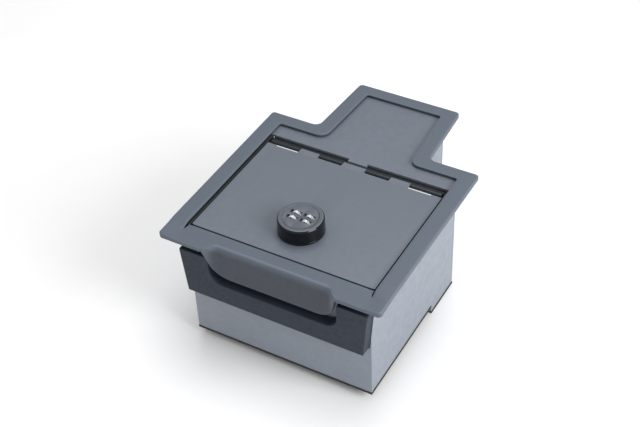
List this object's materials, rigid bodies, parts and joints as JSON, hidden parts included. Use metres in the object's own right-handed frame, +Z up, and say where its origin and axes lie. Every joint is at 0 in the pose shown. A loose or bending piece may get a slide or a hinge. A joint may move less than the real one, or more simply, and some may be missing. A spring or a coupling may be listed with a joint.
{
  "type": "vehicle console safe",
  "caption": "Steel strongbox that drops into a vehicle's centre console, with a T-shaped trim, a hinged lid and a combination knob lock.",
  "frame": {"origin": "centre of the bounding box's bottom face, under the rear floor, at the level it stands on", "axes": "+Z up out of the lid, +Y from the finger scoop at the front to the tongue at the rear, +X to the right seen from the front"},
  "size_m": [0.25, 0.316, 0.1694],
  "materials": {
    "trim_plastic": "fine-grained moulded plastic, satin",
    "lid_coat": "fine textured powder coat, satin",
    "box_coat": "smooth grey powder coat, satin",
    "dark_coat": "thin black primer, matt",
    "bracket_plastic": "matt moulded plastic",
    "hinge_steel": "dark plated steel, satin",
    "zinc": "zinc plated",
    "foam": "closed-cell foam, matt",
    "knob_gloss": "gloss moulded plastic",
    "cap_satin": "satin moulded plastic",
    "nickel": "satin nickel plate"
  },
  "bodies": {
    "box": {"trim_frame": "trim_plastic", "rear_cover": "lid_coat", "front_wall": "box_coat", "left_wall": "box_coat", "right_wall": "box_coat", "rear_wall": "box_coat", "tongue_wall_left": "box_coat", "tongue_wall_right": "box_coat", "tongue_end_wall": "box_coat", "tongue_floor": "box_coat", "floor_riser": "box_coat", "side_rail_left": "dark_coat", "side_rail_right": "dark_coat", "front_rail": "dark_coat", "floor_front": "dark_coat", "floor_rear": "dark_coat", "main_mat": "foam", "well_mat": "foam", "tongue_mat": "foam", "front_bracket": "bracket_plastic", "hinge_leaf": "hinge_steel", "hinge_pin": "hinge_steel", "latch_keeper": "zinc", "trim_screw_1": "zinc", "trim_screw_2": "zinc", "trim_screw_3": "zinc", "trim_screw_4": "zinc", "trim_screw_5": "zinc", "trim_screw_6": "zinc", "hinge_screw_1": "zinc", "hinge_screw_2": "zinc", "hinge_screw_3": "zinc", "hinge_screw_4": "zinc", "bracket_screw_1": "zinc", "bracket_screw_2": "zinc"},
    "lid": {"lid_plate": "lid_coat", "lid_rib_left": "lid_coat", "lid_rib_right": "lid_coat", "lid_rib_front": "lid_coat", "lock_base": "knob_gloss", "lock_washer": "zinc", "lock_nut": "zinc"},
    "knob": {"knob_body": "knob_gloss", "knob_cap": "cap_satin", "lock_spindle": "zinc", "lock_cam": "zinc", "cam_screw": "zinc", "dial_axle_left": "zinc", "dial_axle_right": "zinc"},
    "wheel_1": {"dial_1": "nickel"},
    "wheel_2": {"dial_2": "nickel"},
    "wheel_3": {"dial_3": "nickel"},
    "wheel_4": {"dial_4": "nickel"}
  },
  "joints": [
    {"name": "lid_hinge", "type": "hinge", "parent": "box", "child": "lid", "pos_m": [0, 0.0266, 0.1478], "axis": [-1, 0, 0], "range_deg": [0, 100]},
    {"name": "knob_turn", "type": "hinge", "parent": "lid", "child": "knob", "pos_m": [0, -0.087, 0.1688], "axis": [0, 0, 1], "range_deg": [-90, 0]},
    {"name": "dial_1_spin", "type": "hinge", "parent": "knob", "child": "wheel_1", "pos_m": [-0.0075, -0.0829, 0.1634], "axis": [0, 1, 0], "continuous": true},
    {"name": "dial_2_spin", "type": "hinge", "parent": "knob", "child": "wheel_2", "pos_m": [0.0075, -0.0829, 0.1634], "axis": [0, 1, 0], "continuous": true},
    {"name": "dial_3_spin", "type": "hinge", "parent": "knob", "child": "wheel_3", "pos_m": [-0.0075, -0.0911, 0.1634], "axis": [0, 1, 0], "continuous": true},
    {"name": "dial_4_spin", "type": "hinge", "parent": "knob", "child": "wheel_4", "pos_m": [0.0075, -0.0911, 0.1634], "axis": [0, 1, 0], "continuous": true}
  ]
}
